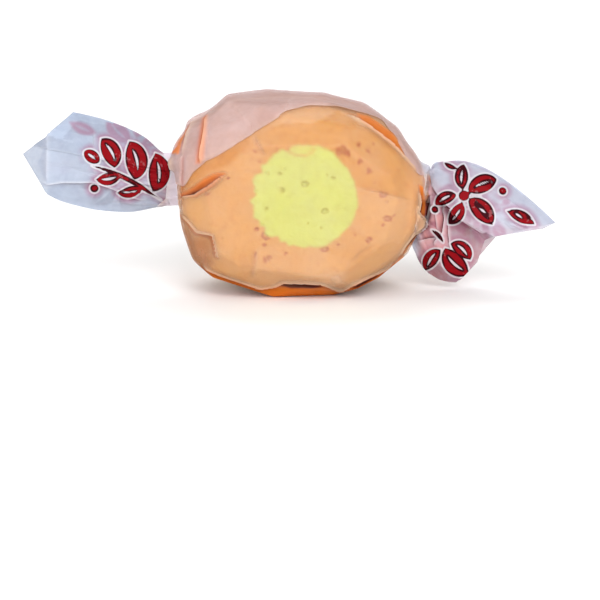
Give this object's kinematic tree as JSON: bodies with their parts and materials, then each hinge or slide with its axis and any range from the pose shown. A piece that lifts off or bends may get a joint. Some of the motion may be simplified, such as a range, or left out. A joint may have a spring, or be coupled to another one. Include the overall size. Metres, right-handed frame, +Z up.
{
  "type": "salt water taffy",
  "caption": "Wrapped salt water taffy: a rounded orange taffy drum with a lemon centre, in waxed paper with a twist at each end.",
  "frame": {"origin": "on the flat spot of the paper that the sweet rests on, straight under the middle of the candy drum", "axes": "+X along the wrapper from one twist to the other, +Y from the shown cut face to the back one, +Z up"},
  "size_m": [0.0633, 0.0187, 0.023],
  "materials": {
    "orange_taffy": "soft satin pulled candy",
    "lemon_taffy": "soft satin pulled candy",
    "waxed_paper": "translucent waxed paper with a printed crimson pattern"
  },
  "bodies": {
    "root": {"taffy": "orange_taffy", "centre": "lemon_taffy", "wrapper": "waxed_paper"}
  },
  "joints": []
}
